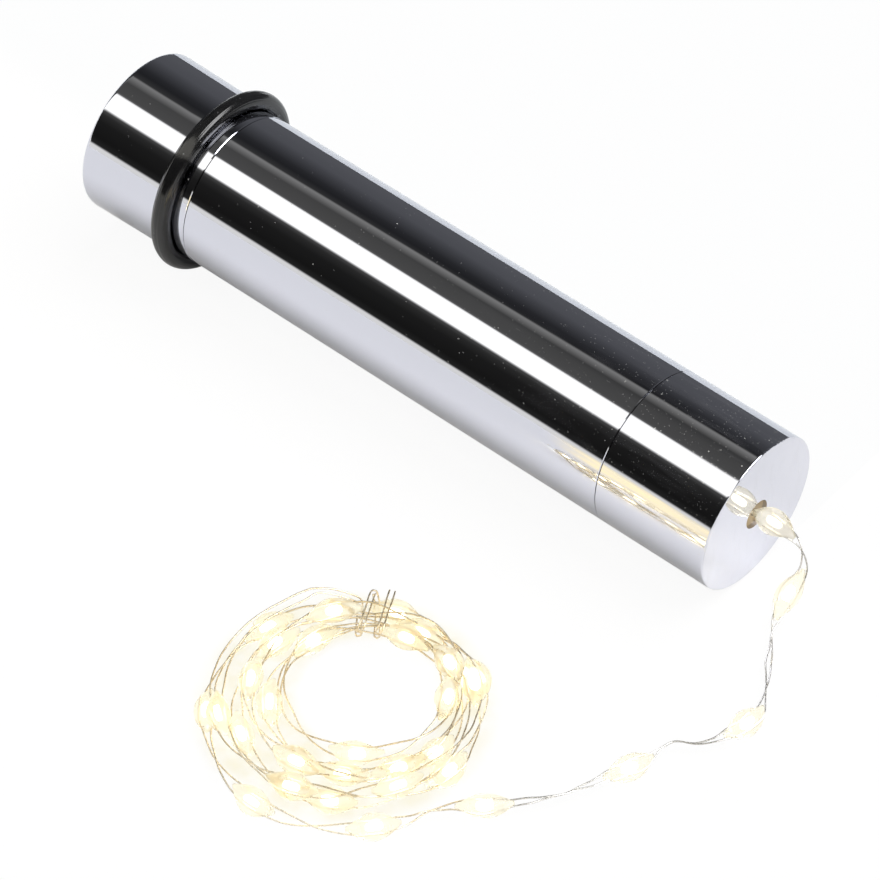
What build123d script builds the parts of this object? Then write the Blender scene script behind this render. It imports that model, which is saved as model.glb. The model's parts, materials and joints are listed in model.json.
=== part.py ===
from build123d import *
import math
import os

# A chrome bottle light lying on a table, with its string of lights in a small tied coil.
# All sizes are in millimetres. The light is drawn along its own X axis, from the end face of the cap
# at 0 towards the string end, and is then laid on the floor, where it rests on its rubber ring and
# on the edge of its string end.

# Driving dimensions: the cell and the walls round it, which together set the tube's diameter
cell_diameter = 14.2
cell_length = 50.2
cell_nub_diameter = 5.4
cell_nub_height = 1.2
cell_edge_cut = 0.5
cell_clearance = 0.3
spigot_wall = 0.7
spigot_clearance = 0.1
tube_wall = 0.8

# Seams, plugs and the string end
seam_gap = 0.06
seam_edge_cut = 0.08
cap_spigot_length = 6.6
end_spigot_length = 6.6
spigot_edge_cut = 0.3
end_length = 14.1
end_wall = 1.2
end_edge_radius = 0.2
exit_hole_diameter = 3.4

# Cap and rubber ring
cap_end_wall = 1.5
cap_end_flare = 0.5
cap_foot_flare = 0.35
cap_edge_radius = 0.5
ring_section = 2.1
ring_stand = 1.8
ring_clearance = 0.05
ring_to_seam = 2.51
groove_wall = 1.6

# Push button and its switch
button_diameter = 7.0
button_recess = 0.3
button_edge_radius = 0.35
button_travel = 0.9
button_clearance = 0.15
button_flange_width = 0.8
button_flange_thickness = 0.8
button_flange_gap = 0.1
button_boss_diameter = 5.6
button_boss_length = 2.4
plunger_side = 3.0
plunger_fit = 0.04
plunger_socket_depth = 2.0
plunger_engagement = 2.4
plunger_guide_clearance = 0.15
switch_gap = 0.7
switch_side = 8.0
switch_height = 8.2
switch_floor_gap = 0.3

# Boards and contacts
board_thickness = 1.0
board_clearance = 0.1
plate_diameter = 11.4
plate_thickness = 0.35
spring_length = 6.0
spring_wire = 0.7
spring_wide_diameter = 9.6
spring_narrow_diameter = 6.4
spring_turns = 4
spring_sides = 6
contact_gap = 0.05
contact_ring_thickness = 0.3
contact_ring_margin = 0.05
contact_leg_width = 2.4
strip_thickness = 0.2
strip_width = 3.0
strip_tab_thickness = 0.3
positive_contact_diameter = 6.0
positive_contact_thickness = 0.38
positive_contact_rim = 0.6
driver_inset = 2.5
driver_ledge = 0.5

# Pieces on the driver board
part_margin = 0.6
inductor_diameter = 4.6
inductor_height = 5.0
inductor_flange = 0.8
inductor_waist_diameter = 3.0
winding_gap = 0.1
chip_length = 2.9
chip_width = 1.6
chip_height = 1.1
chip_legs = 3
chip_leg_width = 0.4
chip_leg_reach = 0.6
chip_leg_height = 0.4
diode_size = (2.6, 1.6, 1.1)
capacitor_size = (2.0, 1.25, 0.9)
resistor_size = (1.6, 0.8, 0.5)
solder_diameter = 2.2
solder_neck_diameter = 1.2
solder_height = 0.8
glue_diameter = 6.4
glue_length = 3.0
glue_edge_cut = 1.0
glue_recess = 0.5

# String: a twisted pair drawn as one round tube, with clear resin drops along it
cord_diameter = 0.6
cord_sides = 6
drop_length = 5.8
drop_diameter = 2.6
drop_tip_diameter = 0.8
drop_shoulder_diameter = 2.15
drop_sides = 8
drop_gap = 0.02
led_chip_size = (0.8, 0.5, 1.6)
led_pitch = 13.0

# Lead: how far the string runs straight out of the hole, the points of its route after that, and the
# drops by their distance along it. Route points are (x, y) from the exit hole and z above the floor.
lead_straight = 3.2
lead_into_coil = 2.8
lead_bend_share = 0.45
lead_route = (
    (5.8, -0.1, 8.6),
    (6.9, -0.7, 6.8),
    (6.5, -2.0, 4.0),
    (6.7, -4.6, 2.1),
    (8.2, -7.6, 1.4),
    (10.6, -11.2, 1.3),
    (12.6, -15.0, 1.35),
    (12.3, -19.0, 1.4),
    (10.5, -22.1, 1.3),
    (8.4, -23.9, 1.25),
    (7.8, -27.4, 1.3),
    (6.6, -31.0, 1.4),
    (4.8, -35.0, 1.35),
    (2.8, -38.5, 1.3),
    (-0.3, -41.7, 1.35),
    (-2.9, -44.3, 1.4),
)
lead_drop_marks = (3.0, 12.0, 29.2, 43.2, 58.6)

# Coil: loops that spiral in on the floor, climb a layer and spiral out again, closer together on
# the side towards the light. Its centre is given from the exit hole, and it winds clockwise.
coil_centre = (-18.8, -41.2)
coil_start_angle = -28.0
coil_inner_radius = 8.6
coil_rate = 2.1
coil_turns_in = 3
coil_turns_out = 2.5
coil_crowding = 0.25
coil_crowd_angle = 90.0
coil_layer_step = 1.9
coil_first_drop = 3.4

# Tie: the tail of the string, wrapped twice round the bundle
tie_angle = 122.0
tie_wraps = 2
tie_pitch = 1.7
tie_clearance = 0.2
tie_corner_radius = 0.9
tie_tail = 4.2
tie_end_reach = 2.6

# Sizes that follow from those
cell_radius = cell_diameter / 2
bore_radius = cell_radius + cell_clearance
spigot_radius = bore_radius + spigot_wall
tube_bore_radius = spigot_radius + spigot_clearance
tube_radius = tube_bore_radius + tube_wall
cord_radius = cord_diameter / 2
drop_radius = drop_diameter / 2
exit_hole_radius = exit_hole_diameter / 2
board_radius = bore_radius - board_clearance
driver_bore_radius = bore_radius - driver_ledge
ring_radius = ring_section / 2
ring_major_radius = tube_radius + ring_stand - ring_radius
groove_radius = ring_major_radius - ring_radius - ring_clearance
groove_width = ring_section + 2 * ring_clearance
cap_bore_radius = groove_radius - groove_wall
button_radius = button_diameter / 2
button_hole_radius = button_radius + button_clearance

# Places along the axis, from the cap's end face to the string end
flange_x = cap_end_wall + button_flange_gap
boss_x = flange_x + button_flange_thickness
boss_end_x = boss_x + button_boss_length
plunger_x = boss_end_x - plunger_socket_depth
switch_x = boss_end_x + button_travel + switch_gap
switch_board_x = switch_x + switch_height
ring_x = switch_board_x - groove_wall - groove_width / 2
cap_seam_x = ring_x + ring_to_seam
plate_x = switch_board_x + board_thickness
spring_x = plate_x + plate_thickness
cell_x = spring_x + spring_length + contact_gap
cell_body_end_x = cell_x + cell_length - cell_nub_height
cell_end_x = cell_x + cell_length
positive_x = cell_end_x + contact_gap
driver_x = positive_x + positive_contact_thickness
driver_back_x = driver_x + board_thickness
end_seam_x = driver_back_x - driver_inset
end_x = end_seam_x + end_length
cap_spigot_end_x = cap_seam_x + cap_spigot_length
end_spigot_x = end_seam_x - end_spigot_length
strip_x = cap_spigot_end_x + contact_ring_thickness + contact_gap
liner_x = strip_x + strip_tab_thickness + contact_gap


def turned(corners):
    """Turn a closed outline round the light's axis. Each corner is an (x, radius) point and its fillet."""
    points = [point for point, _ in corners]
    radii = [radius for _, radius in corners]
    outline = FilletPolyline(points, radius=radii, close=True)
    return revolve(make_face(outline), axis=Axis.X)


def with_cut_edges(piece, places, cut):
    """Chamfer the round edges of a turned piece at the given (x, radius) places."""
    edges = [
        edge
        for edge in piece.edges().filter_by(GeomType.CIRCLE)
        for x, radius in places
        if abs(edge.arc_center.X - x) < cut / 2 and abs(edge.radius - radius) < cut / 2
    ]
    return chamfer(edges, length=cut)


def turned_ring(start_x, stop_x, outer_radius, inner_radius):
    """A plain ring or disc round the axis."""
    section = Polyline(
        (start_x, inner_radius),
        (stop_x, inner_radius),
        (stop_x, outer_radius),
        (start_x, outer_radius),
        close=True,
    )
    return revolve(make_face(section), axis=Axis.X)


def block(start_x, stop_x, width, height, y=0.0, z=0.0):
    """A box from one place on the axis to another."""
    middle_x = (start_x + stop_x) / 2
    return Pos(middle_x, y, z) * Box(stop_x - start_x, width, height)


def make_top_cap():
    end_radius = tube_radius + cap_end_flare
    foot_radius = tube_radius + cap_foot_flare
    groove_start_x = ring_x - groove_width / 2
    groove_stop_x = ring_x + groove_width / 2
    collar_x = cap_seam_x - seam_gap / 2
    corners = (
        ((0, button_hole_radius), 0),
        ((0, end_radius), cap_edge_radius),
        ((groove_start_x, foot_radius), 0),
        ((groove_start_x, groove_radius), 0),
        ((groove_stop_x, groove_radius), 0),
        ((groove_stop_x, tube_radius), 0),
        ((collar_x, tube_radius), 0),
        ((collar_x, spigot_radius), 0),
        ((cap_spigot_end_x, spigot_radius), 0),
        ((cap_spigot_end_x, bore_radius), 0),
        ((switch_board_x, bore_radius), 0),
        ((switch_board_x, cap_bore_radius), 0),
        ((cap_end_wall, cap_bore_radius), 0),
        ((cap_end_wall, button_hole_radius), 0),
    )
    seam_edges = (
        (groove_start_x, foot_radius),
        (groove_stop_x, tube_radius),
        (collar_x, tube_radius),
    )
    cap = with_cut_edges(turned(corners), seam_edges, seam_edge_cut)
    return with_cut_edges(cap, [(cap_spigot_end_x, spigot_radius)], spigot_edge_cut)


def make_o_ring():
    section = Pos(ring_x, ring_major_radius) * Circle(ring_radius)
    return revolve(section, axis=Axis.X)


def make_battery_tube():
    start_x = cap_seam_x + seam_gap / 2
    stop_x = end_seam_x - seam_gap / 2
    tube = turned_ring(start_x, stop_x, tube_radius, tube_bore_radius)
    return with_cut_edges(tube, [(start_x, tube_radius), (stop_x, tube_radius)], seam_edge_cut)


def make_end_cap():
    rim_x = end_seam_x + seam_gap / 2
    inner_end_x = end_x - end_wall
    corners = (
        ((end_spigot_x, bore_radius), 0),
        ((end_spigot_x, spigot_radius), 0),
        ((rim_x, spigot_radius), 0),
        ((rim_x, tube_radius), 0),
        ((end_x, tube_radius), end_edge_radius),
        ((end_x, exit_hole_radius), 0),
        ((inner_end_x, exit_hole_radius), 0),
        ((inner_end_x, driver_bore_radius), 0),
        ((driver_back_x, driver_bore_radius), 0),
        ((driver_back_x, bore_radius), 0),
    )
    cap = with_cut_edges(turned(corners), [(rim_x, tube_radius)], seam_edge_cut)
    return with_cut_edges(cap, [(end_spigot_x, spigot_radius)], spigot_edge_cut)


def make_switch_button():
    flange_radius = button_radius + button_flange_width
    boss_radius = button_boss_diameter / 2
    corners = (
        ((button_recess, 0), 0),
        ((button_recess, button_radius), button_edge_radius),
        ((flange_x, button_radius), 0),
        ((flange_x, flange_radius), 0),
        ((boss_x, flange_radius), 0),
        ((boss_x, boss_radius), 0),
        ((boss_end_x, boss_radius), 0),
        ((boss_end_x, 0), 0),
    )
    button = turned(corners)
    socket_side = plunger_side + 2 * plunger_fit
    return button - block(plunger_x - plunger_fit, boss_end_x, socket_side, socket_side)


def make_switch_plunger():
    return block(plunger_x, switch_x + plunger_engagement, plunger_side, plunger_side)


def make_switch_body():
    guide_side = plunger_side + 2 * plunger_guide_clearance
    guide_end_x = switch_x + plunger_engagement + button_travel + switch_floor_gap
    body = block(switch_x, switch_board_x, switch_side, switch_side)
    return body - block(switch_x, guide_end_x, guide_side, guide_side)


def make_contact_ring():
    ring_end_x = cap_spigot_end_x + contact_ring_thickness
    outer_radius = spigot_radius - contact_ring_margin
    inner_radius = bore_radius - contact_ring_margin - contact_ring_thickness
    ring = turned_ring(cap_spigot_end_x, ring_end_x, outer_radius, inner_radius)
    sleeve = turned_ring(plate_x, ring_end_x, inner_radius + contact_ring_thickness, inner_radius)
    leg = sleeve & block(plate_x, ring_end_x, contact_leg_width, bore_radius, z=bore_radius)
    return ring + leg


def make_return_strip():
    inner_radius = cell_radius + contact_gap
    outer_radius = inner_radius + strip_thickness
    stop_x = driver_x - contact_gap
    sleeve = turned_ring(strip_x, stop_x, outer_radius, inner_radius)
    tab = turned_ring(strip_x, strip_x + strip_tab_thickness, spigot_radius, inner_radius)
    return (sleeve + tab) & block(strip_x, stop_x, strip_width, tube_radius, z=-tube_radius)


def make_aa_cell():
    body = turned_ring(cell_x, cell_body_end_x, cell_radius, 0)
    return with_cut_edges(body, [(cell_x, cell_radius), (cell_body_end_x, cell_radius)], cell_edge_cut)


def make_positive_contact():
    disc = turned_ring(positive_x, driver_x, positive_contact_diameter / 2, 0)
    dish_radius = positive_contact_diameter / 2 - positive_contact_rim
    dish = turned_ring(
        driver_x - positive_contact_thickness / 2, driver_x, dish_radius, cell_nub_diameter / 4
    )
    return disc - dish


def make_inductor_core(y):
    """A drum core standing on the driver board, with a waist for its winding."""
    tall = Pos(driver_back_x, y, 0) * Rot(0, 90, 0)
    align = (Align.CENTER, Align.CENTER, Align.MIN)
    drum = tall * Cylinder(inductor_diameter / 2, inductor_height, align=align)
    waist_height = inductor_height - 2 * inductor_flange
    groove = Cylinder(inductor_diameter, waist_height, align=align)
    groove = groove - Cylinder(inductor_waist_diameter / 2, waist_height, align=align)
    return drum - tall * Pos(0, 0, inductor_flange) * groove


def make_inductor_winding(y):
    tall = Pos(driver_back_x, y, 0) * Rot(0, 90, 0)
    align = (Align.CENTER, Align.CENTER, Align.MIN)
    winding_height = inductor_height - 2 * inductor_flange - 2 * winding_gap
    outer_radius = inductor_diameter / 2 - winding_gap
    winding = Cylinder(outer_radius, winding_height, align=align)
    winding = winding - Cylinder(inductor_waist_diameter / 2 + winding_gap, winding_height, align=align)
    return tall * Pos(0, 0, inductor_flange + winding_gap) * winding


def make_driver_chip(y):
    body = block(driver_back_x, driver_back_x + chip_height, chip_width, chip_length, y=y)
    leg_pitch = chip_length / chip_legs
    for index in range(chip_legs):
        leg_z = (index - (chip_legs - 1) / 2) * leg_pitch
        leg_span = chip_width + 2 * chip_leg_reach
        leg_end_x = driver_back_x + chip_leg_height
        body += block(driver_back_x, leg_end_x, leg_span, chip_leg_width, y=y, z=leg_z)
    return body


def make_board_pieces(size, spots):
    """Equal small pieces on the back of the driver board, at (y, z) spots."""
    length, width, height = size
    pieces = [block(driver_back_x, driver_back_x + height, width, length, y=y, z=z) for y, z in spots]
    return Compound(pieces)


def cord_section(path, side_count, radius):
    start = Plane(origin=path @ 0, z_dir=path % 0)
    return start * RegularPolygon(radius, side_count)


def biarc(start, start_direction, stop, stop_direction):
    """Two arcs that meet smoothly and leave the ends along the given directions."""
    chord = stop - start
    directions = start_direction + stop_direction
    spread = 2 * (1 - start_direction.dot(stop_direction))
    along = chord.dot(directions)
    reach = (math.sqrt(along**2 + spread * chord.dot(chord)) - along) / spread
    first_corner = start + start_direction * reach
    second_corner = stop - stop_direction * reach
    middle = (first_corner + second_corner) * 0.5
    middle_direction = (second_corner - first_corner).normalized()
    return [
        TangentArc(start, middle, tangent=start_direction),
        TangentArc(middle, stop, tangent=middle_direction),
    ]


def biarc_path(place, turns):
    """Quarter-turn biarcs along a formula that gives the place at any number of turns."""
    quarters = round(turns * 4)
    step = 1e-4
    marks = [index / 4 for index in range(quarters + 1)]
    points = [place(mark) for mark in marks]
    directions = [(place(mark + step) - place(mark - step)).normalized() for mark in marks]
    arcs = []
    for index in range(quarters):
        arcs += biarc(points[index], directions[index], points[index + 1], directions[index + 1])
    return arcs, points, directions


def make_cell_spring():
    """A cone of wire that stands on the plate and presses on the cell's flat end."""
    wire_radius = spring_wire / 2
    climb = (spring_length - spring_wire) / spring_turns
    draw_in = (spring_wide_diameter - spring_narrow_diameter) / 2 / spring_turns

    def place(turn):
        angle = 2 * math.pi * turn
        radius = spring_wide_diameter / 2 - draw_in * turn
        x = spring_x + wire_radius + climb * turn
        return Vector(x, radius * math.cos(angle), radius * math.sin(angle))

    arcs, _, _ = biarc_path(place, spring_turns)
    path = Wire(arcs)
    return sweep(cord_section(path, spring_sides, wire_radius), path)


# The rigid pieces, still along the light's own axis
inductor_y = driver_bore_radius - part_margin - inductor_diameter / 2
chip_y = -(driver_bore_radius - part_margin - chip_width / 2 - chip_leg_reach)
small_part_y = part_margin
small_part_z = driver_bore_radius / 2 + part_margin
light = {
    "top_cap": make_top_cap(),
    "o_ring": make_o_ring(),
    "battery_tube": make_battery_tube(),
    "end_cap": make_end_cap(),
    "switch_button": make_switch_button(),
    "switch_plunger": make_switch_plunger(),
    "switch_body": make_switch_body(),
    "switch_board": turned_ring(switch_board_x, plate_x, board_radius, 0),
    "spring_plate": turned_ring(plate_x, spring_x, plate_diameter / 2, 0),
    "cell_spring": make_cell_spring(),
    "contact_ring": make_contact_ring(),
    "return_strip": make_return_strip(),
    "cell_liner": turned_ring(liner_x, end_spigot_x - contact_gap, spigot_radius, bore_radius),
    "aa_cell": make_aa_cell(),
    "cell_terminal": turned_ring(cell_body_end_x, cell_end_x, cell_nub_diameter / 2, 0),
    "positive_contact": make_positive_contact(),
    "driver_board": turned_ring(driver_x, driver_back_x, board_radius, 0),
    "inductor_core": make_inductor_core(inductor_y),
    "inductor_winding": make_inductor_winding(inductor_y),
    "driver_chip": make_driver_chip(chip_y),
    "rectifier_diode": make_board_pieces(diode_size, [(0.0, -small_part_z)]),
    "chip_capacitors": make_board_pieces(
        capacitor_size, [(-2 * small_part_y, small_part_z), (2 * small_part_y, small_part_z)]
    ),
    "chip_resistors": make_board_pieces(
        resistor_size, [(-4 * small_part_y, -small_part_z), (4 * small_part_y, -small_part_z)]
    ),
}

# How the light lies: it tips until the ring and the edge of the string end both touch the floor
tip_run = end_x - end_edge_radius - ring_x
tip_rise = ring_major_radius - (tube_radius - end_edge_radius)
tip_drop = ring_radius - end_edge_radius
tip = math.asin(tip_drop / math.hypot(tip_run, tip_rise)) + math.atan2(tip_rise, tip_run)
axis_height = end_edge_radius + (end_x - end_edge_radius) * math.sin(tip)
axis_height += (tube_radius - end_edge_radius) * math.cos(tip)
tipped = Pos(0, 0, axis_height) * Rot(0, math.degrees(tip), 0)
light_box = Compound([tipped * piece for piece in light.values()]).bounding_box()
laid = Pos(-(light_box.min.X + light_box.max.X) / 2, 0, 0) * tipped
axis_direction = Vector(math.cos(tip), 0, -math.sin(tip))
exit_point = (laid * Pos(end_x, 0, 0)).position
exit_foot = Vector(exit_point.X, exit_point.Y, 0)

# The route of the coil
coil_middle = exit_foot + Vector(*coil_centre)
coil_turns = coil_turns_in + coil_turns_out
coil_mean_radius = coil_inner_radius + coil_rate * coil_turns_in / 2
crowd = math.radians(coil_crowd_angle)


def coil_place(turn):
    """Where the coil's centre line is after so many turns, clockwise from above."""
    angle = math.radians(coil_start_angle) - 2 * math.pi * turn
    radius = coil_inner_radius + coil_rate * abs(turn - coil_turns_in)
    shift = -coil_crowding * (radius - coil_mean_radius)
    climb = min(max((turn - coil_turns_in) * 2 + 0.5, 0), 1)
    height = drop_radius + coil_layer_step * climb**2 * (3 - 2 * climb)
    x = radius * math.cos(angle) + shift * math.cos(crowd)
    y = radius * math.sin(angle) + shift * math.sin(crowd)
    return coil_middle + Vector(x, y, height)


coil_arcs, coil_points, coil_directions = biarc_path(coil_place, coil_turns)
coil_start = coil_points[0] - coil_directions[0] * cord_diameter
coil_stop = coil_points[-1] + coil_directions[-1] * cord_diameter
coil_path = Wire([Line(coil_start, coil_points[0]), *coil_arcs, Line(coil_points[-1], coil_stop)])
string_coil = sweep(cord_section(coil_path, cord_sides, cord_radius), coil_path)


def route_path(points):
    """Straight runs joined by arcs as large as the runs allow."""
    runs = [(second - first).length for first, second in zip(points, points[1:])]
    radii = []
    for index in range(1, len(points) - 1):
        turn = (points[index] - points[index - 1]).get_angle(points[index + 1] - points[index])
        radii.append(lead_bend_share * min(runs[index - 1], runs[index]) / math.tan(math.radians(turn / 2)))
    return FilletPolyline(points, radius=radii), radii


# The route of the lead, from inside the exit hole to the start of the coil
lead_start = exit_point - axis_direction * glue_recess
lead_points = [lead_start, exit_point + axis_direction * lead_straight]
lead_points += [exit_foot + Vector(*point) for point in lead_route]
lead_points += [coil_start - coil_directions[0] * lead_into_coil, coil_start]
lead_path, lead_radii = route_path(lead_points)
string_lead = sweep(cord_section(lead_path, cord_sides, cord_radius), lead_path)

# The route of the tie, which leaves the coil's end, goes over the side of the bundle and wraps it
tie_outward = Vector(math.cos(math.radians(tie_angle)), math.sin(math.radians(tie_angle)), 0)
tie_onward = Vector(tie_outward.Y, -tie_outward.X, 0)


def sampled(path, spacing):
    """Points at even spacing along a path."""
    count = math.ceil(path.length / spacing)
    return [path @ (index / count) for index in range(count + 1)]


coil_samples = sampled(coil_path, cord_diameter)
tie_half_length = tie_wraps * tie_pitch
coil_offsets = [point - coil_middle for point in coil_samples]
bundle = [
    offset
    for offset in coil_offsets
    if abs(offset.dot(tie_onward)) < tie_half_length and offset.dot(tie_outward) > 0
]
tie_room = cord_diameter + tie_clearance
tie_outer = max(point.dot(tie_outward) for point in bundle) + tie_room
tie_inner = min(point.dot(tie_outward) for point in bundle) - tie_room
tie_low = cord_radius
tie_high = max(point.Z for point in bundle) + tie_room


def tie_place(outward, onward, height):
    return coil_middle + tie_outward * outward + tie_onward * onward + Vector(0, 0, height)


tie_points = [coil_stop, coil_stop + coil_directions[-1] * tie_tail]
for wrap in range(tie_wraps):
    start = (wrap - tie_wraps / 2) * tie_pitch
    tie_points += [
        tie_place(tie_outer, start, tie_low),
        tie_place(tie_inner, start + tie_pitch / 4, tie_low),
        tie_place(tie_inner, start + tie_pitch / 2, tie_high),
        tie_place(tie_outer, start + tie_pitch * 3 / 4, tie_high),
    ]
tie_points[-1] = tie_points[-2] + tie_outward * tie_end_reach
tie_path = FilletPolyline(tie_points, radius=tie_corner_radius)
coil_tie = sweep(cord_section(tie_path, cord_sides, cord_radius), tie_path)

# The held stretch of the string inside the end cap, its solder and the glue round it
tail_path = Line((laid * Pos(driver_back_x, 0, 0)).position, lead_start)
string_tail = sweep(cord_section(tail_path, cord_sides, cord_radius), tail_path)
solder_corners = [
    (driver_back_x, 0),
    (driver_back_x, solder_diameter / 2),
    (driver_back_x + solder_height, solder_neck_diameter / 2),
    (driver_back_x + solder_height, 0),
]
solder_joint = laid * revolve(make_face(Polyline(*solder_corners, close=True)), axis=Axis.X) - string_tail
glue_end_x = end_x - end_wall
glue_x = glue_end_x - glue_length
glue_blob = turned_ring(glue_x, glue_end_x, glue_diameter / 2, 0)
glue_blob = with_cut_edges(glue_blob, [(glue_x, glue_diameter / 2)], glue_edge_cut)
glue_plug = turned_ring(glue_end_x, end_x - glue_recess, exit_hole_radius, 0)
wire_glue = laid * (glue_blob + glue_plug) - string_tail

# A resin drop and the light chip inside it, along Z
drop_stations = (
    (-drop_length / 2, drop_tip_diameter),
    (-drop_length / 4, drop_shoulder_diameter),
    (0, drop_diameter),
    (drop_length / 4, drop_shoulder_diameter),
    (drop_length / 2, drop_tip_diameter),
)


def drop_ring(place, width):
    """The corners of a drop's cross-section."""
    angles = [2 * math.pi * index / drop_sides for index in range(drop_sides)]
    return [Vector(width / 2 * math.cos(angle), width / 2 * math.sin(angle), place) for angle in angles]


def make_resin_drop():
    """A drop of flat faces, from tip to tip."""
    rings = [drop_ring(place, width) for place, width in drop_stations]
    faces = [make_face(Polyline(*ring, close=True)) for ring in (rings[0], rings[-1])]
    for low, high in zip(rings, rings[1:]):
        for side in range(drop_sides):
            corners = (low[side - 1], low[side], high[side], high[side - 1])
            faces.append(make_face(Polyline(*corners, close=True)))
    return Solid(Shell([face.face() for face in faces]))


resin_drop = make_resin_drop()
led_chip = Box(*led_chip_size)


def drop_plane(path, mark):
    """The plane across a path at a distance along it, with one side level."""
    share = mark / path.length
    direction = path % share
    return Plane(origin=path @ share, x_dir=direction.cross(Vector(0, 0, 1)), z_dir=direction)


def drop_balls(path, mark):
    """A drop as a row of balls, for telling whether two of them touch."""
    return [(path @ ((mark + place) / path.length), width / 2) for place, width in drop_stations]


def touches(balls, others):
    return any(
        (place - other).length < radius + other_radius + drop_gap
        for place, radius in balls
        for other, other_radius in others
    )


def clear_marks(path, first_mark, taken):
    """Distances of the drops along a path: a pitch apart, each slid on until it touches nothing."""
    marks = []
    mark = first_mark
    strands = list(enumerate(sampled(path, cord_diameter)))
    spacing = path.length / (len(strands) - 1)
    while mark < path.length - drop_length:
        balls = drop_balls(path, mark)
        near = [
            (point, cord_radius) for index, point in strands if abs(index * spacing - mark) > drop_length
        ]
        if touches(balls, near + taken):
            mark += cord_radius
        else:
            marks.append(mark)
            taken = taken + balls
            mark += led_pitch
    return marks


lead_balls = [ball for mark in lead_drop_marks for ball in drop_balls(lead_path, mark)]
tie_balls = [(point, cord_radius) for point in sampled(tie_path, cord_diameter)]
coil_drop_marks = clear_marks(coil_path, coil_first_drop, lead_balls + tie_balls)
lead_planes = [drop_plane(lead_path, mark) for mark in lead_drop_marks]
coil_planes = [drop_plane(coil_path, mark) for mark in coil_drop_marks]

nodes = {name: laid * piece for name, piece in light.items()}
nodes |= {
    "string_tail": string_tail,
    "solder_joint": solder_joint,
    "wire_glue": wire_glue,
    "string_lead": string_lead,
    "lead_drops": Compound([plane.location * resin_drop for plane in lead_planes]),
    "lead_chips": Compound([plane.location * led_chip for plane in lead_planes]),
    "string_coil": string_coil,
    "coil_drops": Compound([plane.location * resin_drop for plane in coil_planes]),
    "coil_chips": Compound([plane.location * led_chip for plane in coil_planes]),
    "coil_tie": coil_tie,
}

os.makedirs("parts", exist_ok=True)
for name, piece in nodes.items():
    export_step(piece, f"parts/{name}.step")


def least_gap(points, spacing, reach):
    """The least distance between stretches of a tube that are further apart than reach along it."""
    skip = math.ceil(reach / spacing)
    return min(
        (points[first] - points[second]).length
        for first in range(len(points))
        for second in range(first + skip, len(points))
    )


section_area = RegularPolygon(cord_radius, cord_sides).area
print(f"tube diameter {2 * tube_radius:.2f}, length {end_x:.2f}")
print(f"seams at {cap_seam_x:.2f} and {end_seam_x:.2f}")
print(f"ring outer diameter {2 * (tube_radius + ring_stand):.2f}, tip {math.degrees(tip):.3f} degrees")
print("lead radii " + ", ".join(f"{radius:.1f}" for radius in lead_radii))
for title, tube, path in (
    ("lead", string_lead, lead_path),
    ("coil", string_coil, coil_path),
    ("tie", coil_tie, tie_path),
):
    share = tube.volume / (section_area * path.length)
    print(f"{title} length {path.length:.1f}, volume over section times length {share:.4f}")
coil_gap = least_gap(coil_samples, cord_diameter, coil_inner_radius) - cord_diameter
print(f"coil least gap to itself {coil_gap:.2f}")
print(f"drops on lead {len(lead_planes)}, on coil {len(coil_planes)}")
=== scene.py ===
import json
import math
import random

import bpy
import numpy as np
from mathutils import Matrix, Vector

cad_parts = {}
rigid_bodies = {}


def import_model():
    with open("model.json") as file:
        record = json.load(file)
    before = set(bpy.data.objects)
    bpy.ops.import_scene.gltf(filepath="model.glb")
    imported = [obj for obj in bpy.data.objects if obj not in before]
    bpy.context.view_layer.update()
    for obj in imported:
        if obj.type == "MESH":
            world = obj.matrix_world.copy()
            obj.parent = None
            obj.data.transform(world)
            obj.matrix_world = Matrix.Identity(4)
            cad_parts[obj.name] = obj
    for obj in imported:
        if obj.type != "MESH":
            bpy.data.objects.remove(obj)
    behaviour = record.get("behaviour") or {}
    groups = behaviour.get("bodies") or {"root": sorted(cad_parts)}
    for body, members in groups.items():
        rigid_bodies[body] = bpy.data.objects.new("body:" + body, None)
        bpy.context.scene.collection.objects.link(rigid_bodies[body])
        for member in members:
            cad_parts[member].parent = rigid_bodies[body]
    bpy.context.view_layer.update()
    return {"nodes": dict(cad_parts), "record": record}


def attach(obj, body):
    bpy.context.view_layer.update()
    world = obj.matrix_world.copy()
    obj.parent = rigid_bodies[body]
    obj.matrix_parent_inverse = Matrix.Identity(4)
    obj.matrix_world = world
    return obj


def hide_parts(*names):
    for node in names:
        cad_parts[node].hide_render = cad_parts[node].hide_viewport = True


# A chrome bottle light with a tied coil of fairy lights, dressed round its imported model.
# The scene is in metres. The string's route, wires and drops are written in millimetres and scaled by MM.

for leftover in list(bpy.data.objects):
    bpy.data.objects.remove(leftover)
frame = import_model()
scene = bpy.context.scene
scene.view_settings.view_transform = "Standard"
MM = 0.001
FULL_TURN = 2 * math.pi
WHITE = (1.0, 1.0, 1.0)

# Camera: the photograph's place, direction and lens
CAMERA_PLACE = (0.244665, -0.290745, 0.398615)
CAMERA_AZIMUTH = 40.05
CAMERA_ELEVATION = 47.028
CAMERA_LENS = 210.03
CAMERA_SENSOR = 36.0
CAMERA_NEAREST = 0.01
CAMERA_FARTHEST = 20


def make_camera():
    data = bpy.data.cameras.new("camera")
    data.lens = CAMERA_LENS
    data.sensor_width = CAMERA_SENSOR
    data.clip_start = CAMERA_NEAREST
    data.clip_end = CAMERA_FARTHEST
    camera = bpy.data.objects.new("camera", data)
    scene.collection.objects.link(camera)
    azimuth = math.radians(CAMERA_AZIMUTH)
    elevation = math.radians(CAMERA_ELEVATION)
    flat = math.cos(elevation)
    back = Vector((math.sin(azimuth) * flat, -math.cos(azimuth) * flat, math.sin(elevation)))
    camera.location = CAMERA_PLACE
    camera.rotation_mode = "QUATERNION"
    camera.rotation_quaternion = (-back).to_track_quat("-Z", "Y")
    scene.camera = camera


make_camera()

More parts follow.
